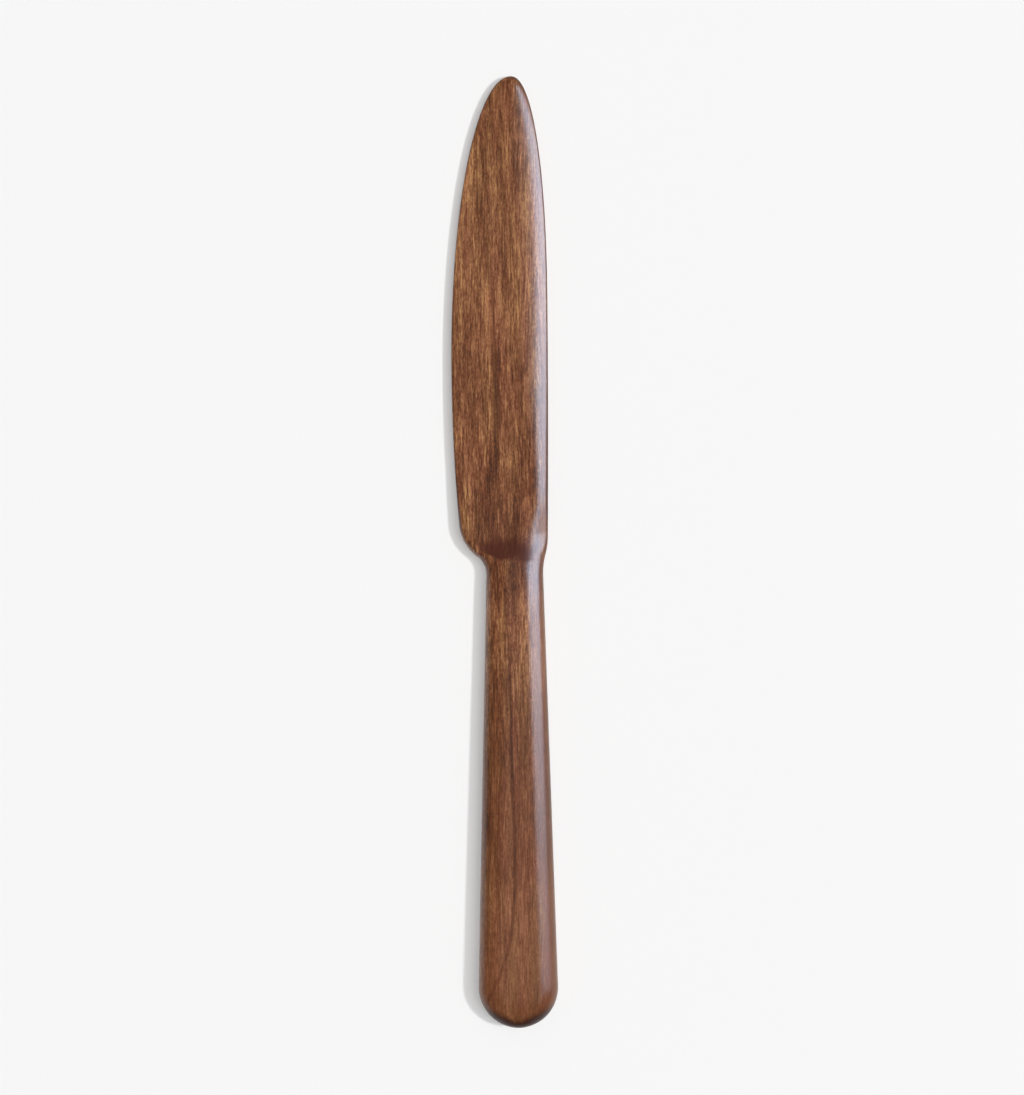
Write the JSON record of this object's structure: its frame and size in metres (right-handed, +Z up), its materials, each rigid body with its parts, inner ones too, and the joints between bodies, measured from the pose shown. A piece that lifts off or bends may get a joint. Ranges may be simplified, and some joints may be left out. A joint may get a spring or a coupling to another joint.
{
  "type": "table knife",
  "caption": "Wooden table knife with a broad leaf-shaped blade, blunt edge and rounded tapering handle, joined by a tang glued into a mortise.",
  "frame": {"origin": "on the table, under the middle of the knife's box, with the knife lying on the flat of its handle", "axes": "+Y from the butt to the tip, +X to the spine's side, +Z up from the table"},
  "size_m": [0.0256, 0.24, 0.0096],
  "materials": {
    "blade_wood": "satin clear finish",
    "handle_wood": "satin clear finish",
    "glue": "hardened glue"
  },
  "bodies": {
    "root": {"blade": "blade_wood", "handle": "handle_wood", "tang_glue": "glue"}
  },
  "joints": []
}
